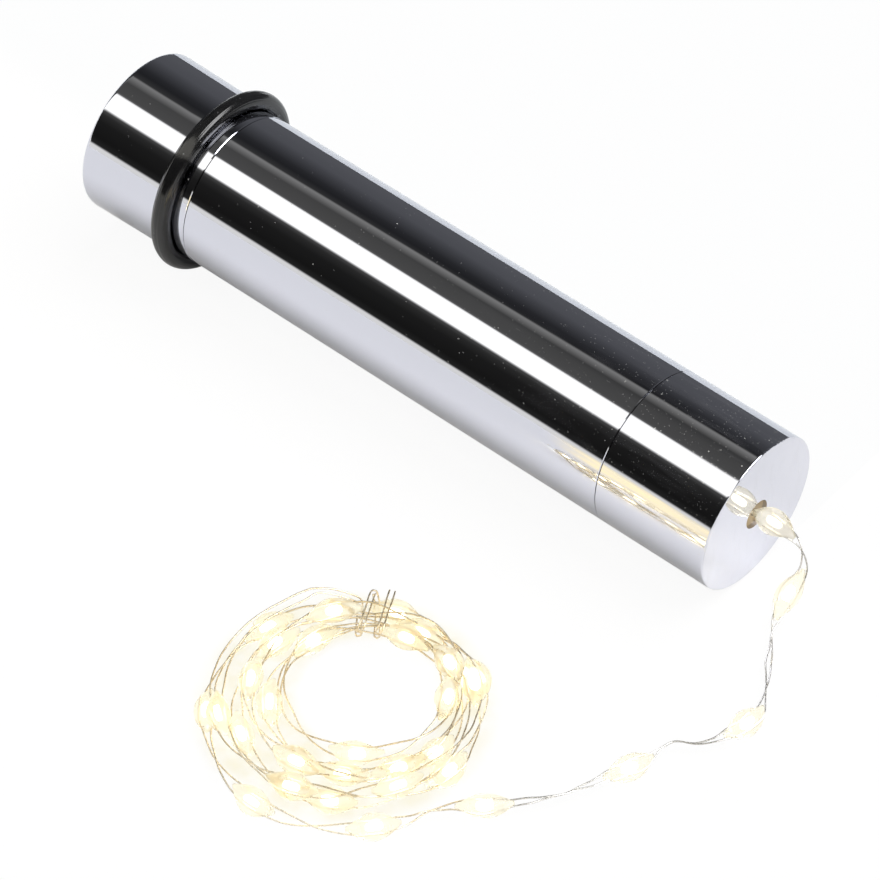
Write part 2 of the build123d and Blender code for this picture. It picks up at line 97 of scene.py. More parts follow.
# The light's axis, which dips towards the string end, and, in millimetres, where the string leaves on it
TIP = math.radians(1.41018)
AXIS = Vector((math.cos(TIP), 0, -math.sin(TIP)))
EXIT = Vector((42.6046, 0, 8.9924))

# A spot fades out from this share of its size
SPOT_CORE = 0.5
# The levels that a noise mostly keeps between, and their middle
NOISE_LEVELS = (0.3, 0.7)
NOISE_MIDDLE = 0.5


class Nodes:
    """A node tree that is built node by node."""

    def __init__(self, tree):
        self.tree = tree

    def node(self, kind, **values):
        made = self.tree.nodes.new(kind)
        for key, value in values.items():
            setattr(made, key, value)
        return made

    def link(self, source, target):
        self.tree.links.new(source, target)

    def give(self, value, target):
        """Links a socket to the target, or sets it to a number, a vector or, from a tuple, a colour."""
        if isinstance(value, bpy.types.NodeSocket):
            self.link(value, target)
        elif isinstance(value, tuple):
            target.default_value = (*value, 1.0)
        else:
            target.default_value = value

    def math(self, operation, first, second, clamp=False):
        made = self.node("ShaderNodeMath", operation=operation, use_clamp=clamp)
        self.give(first, made.inputs[0])
        self.give(second, made.inputs[1])
        return made.outputs[0]

    def times(self, first, second):
        return self.math("MULTIPLY", first, second)

    def plus(self, first, second):
        return self.math("ADD", first, second)

    def larger(self, first, second):
        return self.math("MAXIMUM", first, second)

    def vector_math(self, operation, first, second, result="Vector"):
        made = self.node("ShaderNodeVectorMath", operation=operation)
        self.give(first, made.inputs[0])
        self.give(second, made.inputs[1])
        return made.outputs[result]

    def scaled(self, vector, size):
        made = self.node("ShaderNodeVectorMath", operation="SCALE")
        self.give(vector, made.inputs[0])
        self.give(size, made.inputs["Scale"])
        return made.outputs["Vector"]

    def parts(self, vector):
        made = self.node("ShaderNodeSeparateXYZ")
        self.link(vector, made.inputs[0])
        return made.outputs

    def spread(self, source, levels, results=(0, 1), smooth=False):
        """Takes the first and second level to the first and second result."""
        made = self.node("ShaderNodeMapRange")
        made.interpolation_type = "SMOOTHSTEP" if smooth else "LINEAR"
        names = ("From Min", "From Max", "To Min", "To Max")
        for key, value in zip(names, (*levels, *results)):
            made.inputs[key].default_value = value
        self.link(source, made.inputs["Value"])
        return made.outputs["Result"]

    def blend(self, share, first, second, mode="MIX"):
        made = self.node("ShaderNodeMix", data_type="RGBA", blend_type=mode)
        colours = [socket for socket in made.inputs if socket.type == "RGBA"]
        self.give(share, made.inputs[0])
        self.give(first, colours[0])
        self.give(second, colours[1])
        return next(socket for socket in made.outputs if socket.type == "RGBA")

    def light_path(self):
        return self.node("ShaderNodeLightPath").outputs


class Shader(Nodes):
    """A material whose patterns follow the place on the piece."""

    def __init__(self, name):
        self.material = bpy.data.materials.new(name)
        self.material.use_nodes = True
        super().__init__(self.material.node_tree)
        self.surface = self.tree.nodes["Principled BSDF"]
        self.output = self.tree.nodes["Material Output"]
        self.place = self.node("ShaderNodeTexCoord").outputs["Object"]

    def set(self, **values):
        for key, value in values.items():
            self.surface.inputs[key.replace("_", " ")].default_value = value

    def feed(self, name, source):
        self.link(source, self.surface.inputs[name])

    def stretched(self, scale, turn=(0, 0, 0)):
        made = self.node("ShaderNodeMapping")
        made.inputs["Scale"].default_value = scale
        made.inputs["Rotation"].default_value = turn
        self.link(self.place, made.inputs["Vector"])
        return made.outputs[0]

    def warped(self, scale, reach):
        """The place on the piece pushed about by a noise, for ragged shapes."""
        made = self.node("ShaderNodeTexNoise")
        made.inputs["Scale"].default_value = scale
        self.link(self.place, made.inputs["Vector"])
        return self.vector_math("ADD", self.place, self.scaled(made.outputs["Color"], reach))

    def noise(self, scale, detail=2.0, roughness=0.5, place=None):
        made = self.node("ShaderNodeTexNoise")
        made.inputs["Scale"].default_value = scale
        made.inputs["Detail"].default_value = detail
        made.inputs["Roughness"].default_value = roughness
        self.link(place or self.place, made.inputs["Vector"])
        return made.outputs["Fac"]

    def specks(self, scale, size, share, place):
        """Spots in a share of the cells of a pattern; size is a spot's reach across its cell."""
        made = self.node("ShaderNodeTexVoronoi")
        made.inputs["Scale"].default_value = scale
        self.link(place, made.inputs["Vector"])
        spot = self.spread(made.outputs["Distance"], (size, size * SPOT_CORE), smooth=True)
        lot = self.node("ShaderNodeSeparateColor")
        self.link(made.outputs["Color"], lot.inputs[0])
        return self.times(spot, self.math("LESS_THAN", lot.outputs[0], share))

    def reach_from(self, centre):
        """The distance of a place on the piece from a point of the frame."""
        return self.vector_math("DISTANCE", self.place, centre, "Value")

    def bump(self, height, strength, distance):
        made = self.node("ShaderNodeBump")
        made.inputs["Strength"].default_value = strength
        made.inputs["Distance"].default_value = distance
        self.link(height, made.inputs["Height"])
        self.link(made.outputs["Normal"], self.surface.inputs["Normal"])

    def emission(self, colour):
        made = self.node("ShaderNodeEmission")
        self.give(colour, made.inputs["Color"])
        return made

    def layered(self, share, first, second):
        """Two shaders, of which the second shows by a share."""
        made = self.node("ShaderNodeMixShader")
        self.link(share, made.inputs[0])
        self.link(first.outputs[0], made.inputs[1])
        self.link(second.outputs[0], made.inputs[2])
        return made

    def show(self, shader):
        """Shows a shader in place of the usual surface."""
        self.tree.nodes.remove(self.surface)
        self.link(shader.outputs[0], self.output.inputs["Surface"])


# Chrome: its tint, and its dust, smears and hair scratches, which thicken along X towards the string end
CHROME_TINT = (0.62, 0.632, 0.705)
CHROME_IOR = 2.2
DUST_TINT = (0.85, 0.85, 0.85)
HANDLED_ALONG = (-0.015, 0.042)
HANDLED_SHARES = (0.07, 0.75)
PATCH_SCALE = 85
DUST_WARP = (900, 0.0004)
COARSE_DUST = (1000, 0.12)
COARSE_SHARE = 0.4
FINE_DUST = (2600, 0.22)
FINE_SHARE = 0.7
FINE_WEIGHT = 0.6
HAIR_STRETCHES = (((330, 3800, 3800), (0.3, 0.6, 0.4)), ((3500, 3500, 280), (0.5, -0.4, 0.9)))
HAIR_SIZE = 0.12
HAIR_SHARE = 0.45
HAIR_WEIGHT = 0.4
SMEAR_STRETCH = ((90, 900, 260), (0.5, 0.2, 0.6))
SMEAR_LEVELS = (0.48, 0.72)
SMEAR_PATCHES = (0.2, 0.8)
SMEAR_ROUGHNESS = 0.06
SMEAR_VEIL = 0.04
CLOUD_SCALE = 160
CLOUD_LEVELS = (0.35, 0.75)
CLOUD_ROUGHNESS = (0.012, 0.035)
MARK_ROUGHNESS = 0.25
MARK_VEIL = 0.26


def chrome():
    """Mirror plating with dust, smears and short hair scratches, more of them towards the string end."""
    look = Shader("chrome_plating")
    look.set(IOR=CHROME_IOR)
    handled = look.spread(look.parts(look.place)["X"], HANDLED_ALONG, HANDLED_SHARES, smooth=True)
    patchy = look.plus(handled, look.math("SUBTRACT", look.noise(PATCH_SCALE, detail=3), NOISE_MIDDLE))
    warped = look.warped(*DUST_WARP)
    coarse = look.specks(*COARSE_DUST, look.times(patchy, COARSE_SHARE), warped)
    fine = look.specks(*FINE_DUST, look.times(patchy, FINE_SHARE), warped)
    marks_seen = look.larger(coarse, look.times(fine, FINE_WEIGHT))
    for scale, turn in HAIR_STRETCHES:
        hairs = look.specks(1, HAIR_SIZE, look.times(patchy, HAIR_SHARE), look.stretched(scale, turn))
        marks_seen = look.larger(marks_seen, look.times(hairs, HAIR_WEIGHT))
    smear = look.noise(1, detail=3, roughness=0.6, place=look.stretched(*SMEAR_STRETCH))
    smear = look.times(look.spread(smear, SMEAR_LEVELS), look.spread(patchy, SMEAR_PATCHES))
    cloud = look.spread(look.noise(CLOUD_SCALE, detail=4, roughness=0.6), CLOUD_LEVELS, CLOUD_ROUGHNESS)
    rough = look.plus(cloud, look.times(smear, SMEAR_ROUGHNESS))
    look.feed("Roughness", look.plus(rough, look.times(marks_seen, MARK_ROUGHNESS)))
    look.feed("Base Color", look.blend(marks_seen, CHROME_TINT, DUST_TINT))
    veil = look.larger(look.times(marks_seen, MARK_VEIL), look.times(smear, SMEAR_VEIL))
    look.feed("Metallic", look.math("SUBTRACT", 1.0, veil))
    return look.material


# Rubber: black with fine mould lines, a little dust and hardly any grain
RUBBER_TINTS = ((0.005, 0.005, 0.0055), (0.012, 0.012, 0.013))
RUBBER_ROUGHNESS = (0.09, 0.18)
RUBBER_SMEAR_SCALE = 420
RUBBER_DUST = (1500, 0.2)
RUBBER_DUST_SHARE = 0.3
RUBBER_DUST_WEIGHT = 0.5
RUBBER_DUST_TINT = (0.2, 0.2, 0.21)
RUBBER_GRAIN_SCALE = 5200
RUBBER_GRAIN_WEIGHT = 0.01
MOULD_LINE_SCALE = 2300
MOULD_LINE_STRENGTH = 0.8
MOULD_LINE_DEPTH = 0.00018


def mould_lines(look):
    """A noise that runs round the axis of the light, as the lines of a mould do."""
    gap = look.vector_math("SUBTRACT", look.place, EXIT * MM)
    along = look.vector_math("DOT_PRODUCT", gap, AXIS, "Value")
    spoke = look.vector_math("DISTANCE", gap, look.scaled(AXIS, along), "Value")
    place = look.node("ShaderNodeCombineXYZ")
    look.link(along, place.inputs["X"])
    look.link(spoke, place.inputs["Y"])
    return look.noise(MOULD_LINE_SCALE, place=place.outputs[0])


def rubber():
    """Black moulded rubber with a soft sheen."""
    look = Shader("black_rubber")
    smear = look.noise(RUBBER_SMEAR_SCALE, detail=3, roughness=0.55)
    dust = look.specks(*RUBBER_DUST, look.times(smear, RUBBER_DUST_SHARE), look.warped(*DUST_WARP))
    black = look.blend(smear, *RUBBER_TINTS)
    look.feed("Base Color", look.blend(look.times(dust, RUBBER_DUST_WEIGHT), black, RUBBER_DUST_TINT))
    look.feed("Roughness", look.spread(smear, NOISE_LEVELS, RUBBER_ROUGHNESS))
    grain = look.times(look.noise(RUBBER_GRAIN_SCALE, detail=0), RUBBER_GRAIN_WEIGHT)
    look.bump(look.plus(mould_lines(look), grain), MOULD_LINE_STRENGTH, MOULD_LINE_DEPTH)
    return look.material


# Plastics: slot, material, darker and lighter tint, roughness, scale of the grain and strength of its bump
PLASTICS = (
    ("button_plastic", "button_plastic", (0.04, 0.04, 0.043), (0.075, 0.075, 0.08), 0.42, 4000, 0.12),
    ("switch_plastic", "switch_plastic", (0.03, 0.03, 0.034), (0.06, 0.06, 0.066), 0.5, 3600, 0.12),
    ("liner_plastic", "liner_plastic", (0.6, 0.6, 0.58), (0.76, 0.76, 0.74), 0.4, 3000, 0.12),
    ("cell_jacket", "cell_jacket", (0.05, 0.055, 0.065), (0.10, 0.11, 0.125), 0.26, 1800, 0.05),
    ("ferrite", "ferrite", (0.04, 0.04, 0.043), (0.085, 0.085, 0.09), 0.55, 5000, 0.25),
    ("black_package", "black_package", (0.018, 0.018, 0.019), (0.035, 0.035, 0.036), 0.5, 5200, 0.12),
    ("ceramic", "fired_ceramic", (0.44, 0.34, 0.23), (0.6, 0.5, 0.37), 0.45, 5200, 0.12),
    ("glue", "hot_glue", (0.28, 0.2, 0.1), (0.44, 0.34, 0.2), 0.3, 1600, 0.3),
)
PLASTIC_TONE_WIDTH = 8
PLASTIC_SHEEN = (-0.06, 0.08)
PLASTIC_GRAIN_DEPTH = 0.00003


def plastic(name, dark, light, rough, grain_scale, bump):
    """Moulded plastic: two close shades, an uneven sheen and a fine grain."""
    look = Shader(name)
    tone = look.noise(grain_scale / PLASTIC_TONE_WIDTH, detail=3)
    look.feed("Base Color", look.blend(tone, dark, light))
    sheen = (rough + PLASTIC_SHEEN[0], rough + PLASTIC_SHEEN[1])
    look.feed("Roughness", look.spread(tone, NOISE_LEVELS, sheen))
    look.bump(look.noise(grain_scale), bump, PLASTIC_GRAIN_DEPTH)
    return look.material


# Metals: slot, material, darker and lighter tint, roughness, scale of the drawn lines and their stretch
METALS = (
    ("spring_steel", "spring_nickel", (0.5, 0.49, 0.46), (0.72, 0.71, 0.68), 0.2, 1400, (1, 1, 1)),
    ("contact_brass", "contact_brass", (0.62, 0.43, 0.16), (0.83, 0.65, 0.3), 0.24, 1200, (0.2, 1, 1)),
    ("cell_steel", "cell_nickel", (0.55, 0.54, 0.52), (0.76, 0.75, 0.72), 0.22, 1600, (1, 1, 1)),
    ("copper_wire", "enamelled_copper", (0.55, 0.2, 0.08), (0.8, 0.36, 0.16), 0.3, 2400, (1, 0.1, 0.1)),
    ("solder", "solder", (0.52, 0.52, 0.54), (0.74, 0.74, 0.76), 0.28, 1500, (1, 1, 1)),
)
METAL_TARNISH_WIDTH = 6
METAL_SHEEN = (-0.07, 0.1)
METAL_LINE_STRENGTH = 0.06
METAL_LINE_DEPTH = 0.00002


def metal(name, dark, light, rough, scale, stretch):
    """Bare or plated metal with drawn lines and slight tarnish."""
    look = Shader(name)
    look.set(Metallic=1.0)
    place = look.stretched(tuple(scale * share for share in stretch))
    lines = look.noise(1, detail=3, roughness=0.6, place=place)
    tarnish = look.noise(scale / METAL_TARNISH_WIDTH, detail=4, roughness=0.6)
    look.feed("Base Color", look.blend(tarnish, dark, light))
    sheen = (rough + METAL_SHEEN[0], rough + METAL_SHEEN[1])
    look.feed("Roughness", look.spread(lines, NOISE_LEVELS, sheen))
    look.bump(lines, METAL_LINE_STRENGTH, METAL_LINE_DEPTH)
    return look.material


# The string's wire: darker and lighter stretches, in a plain tone and, near the coil, in a warm one that is
# the lit drops' light painted on
WIRE_PLAIN = ((0.68, 0.665, 0.64), (0.92, 0.91, 0.89))
WIRE_PAINTED_GLOW = ((0.74, 0.64, 0.47), (0.92, 0.84, 0.67))
WIRE_PAINTED_GLOW_CENTRE = Vector((0.0238, -0.0412, 0))
WIRE_PAINTED_GLOW_EDGE = (0.0144, 0.0192)
WIRE_STRETCH_SCALE = 110
WIRE_STRETCH_LEVELS = (0.49, 0.65)
WIRE_METALLIC = (0.85, 0.6)
WIRE_TONE_SCALE = 1800
WIRE_ROUGHNESS = (0.2, 0.34)


def silvered_wire():
    """Thin bright wire under a clear lacquer, with the lit drops' warm light painted into its colour near
    the coil.
    """
    look = Shader("silvered_wire")
    stretch = look.spread(look.noise(WIRE_STRETCH_SCALE, detail=3), WIRE_STRETCH_LEVELS, smooth=True)
    # Painted glow: near the coil the wire's colour blends to a warm tone that stands for the lit drops'
    # light on it
    far = look.spread(look.reach_from(WIRE_PAINTED_GLOW_CENTRE), WIRE_PAINTED_GLOW_EDGE, smooth=True)
    painted_warmth = look.blend(stretch, *WIRE_PAINTED_GLOW)
    plain = look.blend(stretch, *WIRE_PLAIN)
    tone = look.noise(WIRE_TONE_SCALE, detail=3)
    look.feed("Base Color", look.blend(far, painted_warmth, plain))
    look.feed("Metallic", look.spread(stretch, (0, 1), WIRE_METALLIC))
    look.feed("Roughness", look.spread(tone, NOISE_LEVELS, WIRE_ROUGHNESS))
    look.set(Coat_Weight=0.2, Coat_Roughness=0.12)
    return look.material


RESIN_RIPPLE_SCALE = 900
RESIN_ROUGHNESS = (0.22, 0.38)
RESIN_RIPPLE_STRENGTH = 0.2
RESIN_RIPPLE_DEPTH = 0.00008


def resin():
    """Clear cast resin with a warm tint and a faint painted glow that stands for the light of the chip
    inside it.
    """
    look = Shader("clear_resin")
    look.set(Base_Color=(0.94, 0.907, 0.787, 1.0), Transmission_Weight=0.94, IOR=1.16)
    # Painted glow: the resin's own emission stands in for the chip's light scattered inside it
    look.set(Emission_Color=(1.0, 0.86, 0.56, 1.0), Emission_Strength=0.042)
    ripple = look.noise(RESIN_RIPPLE_SCALE, detail=3, roughness=0.55)
    look.feed("Roughness", look.spread(ripple, NOISE_LEVELS, RESIN_ROUGHNESS))
    look.bump(ripple, RESIN_RIPPLE_STRENGTH, RESIN_RIPPLE_DEPTH)
    return look.material


PHOSPHOR_TINTS = ((0.95, 0.78, 0.35), (1.0, 0.9, 0.6))
PHOSPHOR_GRAIN_SCALE = 6000


def light_chip():
    """A lit chip under its phosphor."""
    look = Shader("lit_phosphor")
    look.feed("Base Color", look.blend(look.noise(PHOSPHOR_GRAIN_SCALE), *PHOSPHOR_TINTS))
    look.set(Roughness=0.5, Emission_Color=(1.0, 0.9, 0.68, 1.0), Emission_Strength=5.0)
    return look.material


BOARD_TINTS = ((0.012, 0.10, 0.045), (0.02, 0.16, 0.07))
BOARD_WEAVE = (900, 3400, 900)
BOARD_ROUGHNESS = (0.22, 0.34)


def board():
    """Green solder mask over a faint glass weave."""
    look = Shader("board_mask")
    weave = look.noise(1, place=look.stretched(BOARD_WEAVE))
    look.feed("Base Color", look.blend(weave, *BOARD_TINTS))
    look.feed("Roughness", look.spread(weave, NOISE_LEVELS, BOARD_ROUGHNESS))
    look.set(Coat_Weight=0.4, Coat_Roughness=0.15)
    return look.material


finishes = {
    "chrome": chrome(),
    "rubber": rubber(),
    "board": board(),
    "string_wire": silvered_wire(),
    "resin": resin(),
    "light_chip": light_chip(),
}
for slot, *values in PLASTICS:
    finishes[slot] = plastic(*values)
for slot, *values in METALS:
    finishes[slot] = metal(*values)

for entry in frame["record"]["subparts"]:
    node = frame["nodes"][entry["node"]]
    node.data.materials.clear()
    node.data.materials.append(finishes[entry["material_slot"]])

# Route of the string in millimetres: out of the hole along the axis and a little up, then by points
# from the spot on the table below the exit
EXIT_FOOT = Vector((EXIT.x, EXIT.y, 0))
LEAD_RECESS = 0.5
LEAD_RISES = ((1.2, 0.4), (3.2, 0.5))
LEAD_ROUTE = (
    (5.6, -0.1, 8.7),
    (6.6, -0.5, 7.4),
    (6.9, -1.0, 5.6),
    (6.4, -2.0, 4.0),
    (6.4, -3.4, 2.9),
    (6.7, -4.9, 2.0),
    (7.4, -6.5, 1.3),
    (8.6, -8.4, 1.1),
    (10.4, -11.0, 1.1),
    (12.2, -13.9, 1.3),
    (12.9, -15.8, 1.4),
    (12.2, -19.4, 1.4),
    (11.5, -21.4, 1.3),
    (10.2, -22.7, 1.2),
    (8.2, -23.6, 1.15),
    (8.0, -25.6, 1.25),
    (7.8, -27.9, 1.35),
    (6.8, -30.4, 1.4),
    (5.7, -33.1, 1.35),
    (4.6, -35.3, 1.2),
    (3.2, -37.9, 1.15),
    (1.4, -40.1, 1.25),
    (0.0, -41.8, 1.35),
    (-2.0, -43.7, 1.4),
    (-3.9, -45.3, 1.4),
)
# The coil: loops that spiral in and out again, crowd to one side and climb, looser away from the tie
COIL_CENTRE = EXIT_FOOT + Vector((-18.8, -41.2, 0))
COIL_START = math.radians(-28)
COIL_INNER = 7.9
COIL_RATE = 2.5
COIL_TURNS_IN = 3
COIL_TURNS = 5.5
COIL_STEPS = 16
COIL_CROWDING = 0.39
COIL_CROWD_ANGLE = math.radians(75)
COIL_LIFT = 0.3
COIL_FLOOR = 1.3
COIL_CLIMB = 0.42
COIL_LOOSE = 0.6
COIL_LOOSE_INSIDE = 0.35
COIL_LOBES = 3
# The tie: the string's tail, wrapped round the bundle
TIE_ANGLE = math.radians(122)
TIE_WRAPS = 2
TIE_PITCH = 1.9
TIE_ROOM = 0.3
TIE_STAND = 0.9
TIE_LOW = 0.9
TIE_INNER_LOW = 1.8
TIE_TAIL = 2.4
# The points that a route has for each control point, and the step of the string's line
ROUTE_CLOSENESS = 10
STRING_STEP = 0.2
dice = random.Random(41)


def spline_points(control):
    """Points along the smooth line that the control points draw."""
    data = bpy.data.curves.new("route", "CURVE")
    data.dimensions = "3D"
    data.resolution_u = ROUTE_CLOSENESS
    spline = data.splines.new("NURBS")
    spline.points.add(len(control) - 1)
    for point, place in zip(spline.points, control):
        point.co = (*place, 1.0)
    spline.order_u = 3
    spline.use_endpoint_u = True
    holder = bpy.data.objects.new("route", data)
    scene.collection.objects.link(holder)
    mesh = bpy.data.meshes.new_from_object(holder)
    places = np.array([vertex.co for vertex in mesh.vertices])
    bpy.data.objects.remove(holder)
    bpy.data.curves.remove(data)
    bpy.data.meshes.remove(mesh)
    return places


def loop_waves():
    """The size and phase of each lobe that a loop is out of round by."""
    return [(dice.uniform(-1, 1), dice.uniform(0, FULL_TURN)) for _ in range(COIL_LOBES)]


def coil_control():
    """Loose loops that spiral in and out again, each lying on the one before."""
    waves = [loop_waves() for _ in range(math.ceil(COIL_TURNS) + 1)]
    mean = COIL_INNER + COIL_RATE * COIL_TURNS_IN / 2
    places = []
    for index in range(round(COIL_TURNS * COIL_STEPS) + 1):
        turn = index / COIL_STEPS
        angle = COIL_START - FULL_TURN * turn
        radius = COIL_INNER + COIL_RATE * abs(turn - COIL_TURNS_IN)
        shift = COIL_CROWDING * (mean - radius)
        loop = math.floor(turn)
        share = turn - loop
        loose = 0.0
        for lobe in range(COIL_LOBES):
            size_here, phase_here = waves[loop][lobe]
            size_next, phase_next = waves[loop + 1][lobe]
            here = size_here * math.cos((lobe + 1) * angle + phase_here)
            following = size_next * math.cos((lobe + 1) * angle + phase_next)
            loose += (here * (1 - share) + following * share) / (lobe + 1)
        away = (1 - math.cos(angle - TIE_ANGLE)) / 2
        outer = abs(turn - COIL_TURNS_IN) / COIL_TURNS_IN
        radius += COIL_LOOSE * loose * away * (COIL_LOOSE_INSIDE + (1 - COIL_LOOSE_INSIDE) * outer)
        height = COIL_FLOOR + COIL_CLIMB * turn
        x = radius * math.cos(angle) + shift * math.cos(COIL_CROWD_ANGLE)
        y = radius * math.sin(angle) + shift * math.sin(COIL_CROWD_ANGLE) + COIL_LIFT
        places.append(COIL_CENTRE + Vector((x, y, height)))
    return places


coil = coil_control()
coil_out = (coil[-1] - coil[-2]).normalized()
lead = [EXIT - AXIS * LEAD_RECESS]
lead += [EXIT + AXIS * along + Vector((0, 0, rise)) for along, rise in LEAD_RISES]
lead += [EXIT_FOOT + Vector(point) for point in LEAD_ROUTE]

# The tie wraps the bundle where it passes the tie's direction
tie_outward = Vector((math.cos(TIE_ANGLE), math.sin(TIE_ANGLE), 0))
tie_onward = Vector((tie_outward.y, -tie_outward.x, 0))
coil_line = spline_points(coil)
offsets = coil_line - np.array(COIL_CENTRE)
onward = offsets @ np.array(tie_onward)
outward = offsets @ np.array(tie_outward)
held = (np.abs(onward) < TIE_PITCH) & (outward > 0)
tie_outer = outward[held].max() + TIE_STAND
tie_inner = outward[held].min() - TIE_ROOM
tie_high = offsets[held][:, 2].max() + TIE_ROOM


def tie_wrap(start):
    """One wrap in even steps of its pitch: down outside the bundle, under it, up inside and back over."""
    middle = (tie_inner + tie_outer) / 2
    spots = (
        (tie_outer, tie_high / 2),
        (tie_outer, TIE_LOW),
        (middle, TIE_LOW),
        (tie_inner, TIE_INNER_LOW),
        (tie_inner, (TIE_INNER_LOW + tie_high) / 2),
        (tie_inner, tie_high),
        (middle, tie_high),
        (tie_outer, tie_high),
    )
    places = []
    for step, (out, height) in enumerate(spots):
        on = start + TIE_PITCH * step / len(spots)
        places.append(COIL_CENTRE + tie_outward * out + tie_onward * on + Vector((0, 0, height)))
    return places


tie = [coil[-1] + coil_out * TIE_TAIL]
for wrap in range(TIE_WRAPS):
    tie += tie_wrap((wrap - TIE_WRAPS / 2) * TIE_PITCH)
route = spline_points(lead + coil + tie)


def even(points):
    """The same line at even steps, and the mark of each step along it."""
    runs = np.linalg.norm(np.diff(points, axis=0), axis=1)
    passed = np.concatenate([[0], np.cumsum(runs)])
    count = math.ceil(passed[-1] / STRING_STEP)
    wanted = np.linspace(0, passed[-1], count + 1)
    return np.stack([np.interp(wanted, passed, points[:, k]) for k in range(3)], axis=1), wanted


line, marks = even(route)
lead_length = even(spline_points([*lead, coil[0]]))[1][-1]
coil_end = lead_length + even(coil_line)[1][-1]


def place_at(mark):
    """The point of the string's line at a mark."""
    return np.array([np.interp(mark, marks, line[:, k]) for k in range(3)])


def index_at(mark):
    """The step of the string's line that is nearest to a mark."""
    return min(max(round(mark / (marks[1] - marks[0])), 0), len(line) - 1)


def eased(share):
    return share * share * (3 - 2 * share)


def carried_frames(points):
    """A direction along the line at each point, with two across it that turn as little as they can."""
    ahead_of = np.gradient(points, axis=0)
    ahead_of /= np.linalg.norm(ahead_of, axis=1)[:, None]
    side = np.cross(ahead_of[0], (0, 0, 1.0))
    sides_of = []
    for direction in ahead_of:
        side = side - direction * (side @ direction)
        side /= np.linalg.norm(side)
        sides_of.append(side)
    sides_of = np.array(sides_of)
    return ahead_of, sides_of, np.cross(ahead_of, sides_of)


ahead, sides, ups = carried_frames(line)

# Drops: marks on the lead, sizes in millimetres, and the balls that stand for a drop where room is
# sought for it, each by its share of the length and of the radius
LEAD_DROPS = (2.7, 12.2, 29.4, 43.4, 58.8)
DROP_LENGTH = 5.8
DROP_RADIUS = 1.4
DROP_FOOT = 0.02
DROP_PITCH = 13.0
DROP_STATIONS = ((-0.4, 0.45), (-0.2, 0.85), (0, 1.0), (0.2, 0.85), (0.4, 0.45))
DROP_FIRST_IN_COIL = 2.8
DROP_SLIDE = 0.3
STRAND_CLEARANCE = 0.8
DROP_CLEARANCE = 0.9


def balls_at(mark):
    """A drop as a row of balls."""
    return [(place_at(mark + share * DROP_LENGTH), size * DROP_RADIUS) for share, size in DROP_STATIONS]


def coil_drop_marks():
    """Marks a pitch apart, each slid on until its drop clears the other strands and drops."""
    taken = [ball for mark in LEAD_DROPS for ball in balls_at(mark)]
    chosen = []
    mark = lead_length + DROP_FIRST_IN_COIL
    wait = 0.0
    while mark < coil_end - DROP_LENGTH:
        balls = balls_at(mark)
        far = line[np.abs(marks - mark) > DROP_LENGTH]
        clear = all(
            np.linalg.norm(far - place, axis=1).min() > size * STRAND_CLEARANCE
            for place, size in balls
        )
        clear = clear and all(
            np.linalg.norm(place - other) > DROP_CLEARANCE * (size + other_size)
            for place, size in balls
            for other, other_size in taken
        )
        if clear or wait > DROP_PITCH / 2:
            chosen.append(mark)
            taken += balls
            mark += DROP_PITCH - wait / 2
            wait = 0.0
        else:
            mark += DROP_SLIDE
            wait += DROP_SLIDE
    return chosen


coil_marks = coil_drop_marks()
drop_marks = [*LEAD_DROPS, *coil_marks]


def new_piece(name, vertices, faces, slot):
    mesh = bpy.data.meshes.new(name)
    mesh.from_pydata([tuple(vertex) for vertex in vertices], [], faces)
    mesh.update()
    mesh.shade_smooth()
    mesh.materials.append(finishes[slot])
    piece = bpy.data.objects.new(name, mesh)
    scene.collection.objects.link(piece)
    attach(piece, "light")
    return piece


def ring_faces(rings, corners, start):
    """Faces of a closed skin over a row of rings; start is the first vertex's number."""
    faces = []
    for ring in range(rings - 1):
        for corner in range(corners):
            here = start + ring * corners + corner
            beside = start + ring * corners + (corner + 1) % corners
            faces.append((here, beside, beside + corners, here + corners))
    last = start + (rings - 1) * corners
    faces.append(tuple(start + corner for corner in reversed(range(corners))))
    faces.append(tuple(last + corner for corner in range(corners)))
    return faces


# The pair of wires, in millimetres: their twist, half their spacing and its waves, and their kinks
WIRE_RADIUS = 0.095
WIRE_CORNERS = 6
WIRE_CLEARANCE = 0.02
LEVEL = np.array((0.3, -0.4, 0.85))
LEAD_TWIST = 7.5
COIL_TWIST = 8.5
DROP_HOLD = 0.4
COIL_BLEND = 3
SPACING_LEAST = 0.13
SPACING_SPREAD = 0.21
SPACING_MORE_IN_COIL = 0.04
SPREAD_MORE_IN_COIL = 0.31
SPACING_RUN = 6
OPEN_APART = 0.62
OPEN_START = 1.25
OPEN_REACH = 0.6
TIE_APART = 0.26
HOLE_APART = 0.17
HOLE_REACH = 1.5
KINK_SIZE = 0.07
KINK_RUNS = (2.1, 1.7)
KINKS_ON_LEAD = 2
KINKS_LESS_IN_COIL = 1.4
SPARE_RUNS = 3


def tube(points, start):
    """Vertices and faces of a round wire along points; start is the first vertex's number."""
    _, firsts, seconds = carried_frames(points)
    turns = [FULL_TURN * corner / WIRE_CORNERS for corner in range(WIRE_CORNERS)]
    rings = [points + WIRE_RADIUS * (math.cos(turn) * firsts + math.sin(turn) * seconds) for turn in turns]
    vertices = np.stack(rings, axis=1).reshape(-1, 3)
    return vertices, ring_faces(len(points), WIRE_CORNERS, start)


def wave(run, low, high):
    """A smooth line of random values along the string, a new one after each run."""
    knots = np.arange(0, marks[-1] + SPARE_RUNS * run, run)
    values = np.array([dice.uniform(low, high) for _ in knots])
    knot = (marks // run).astype(int)
    return values[knot] + (values[knot + 1] - values[knot]) * eased((marks / run) % 1)


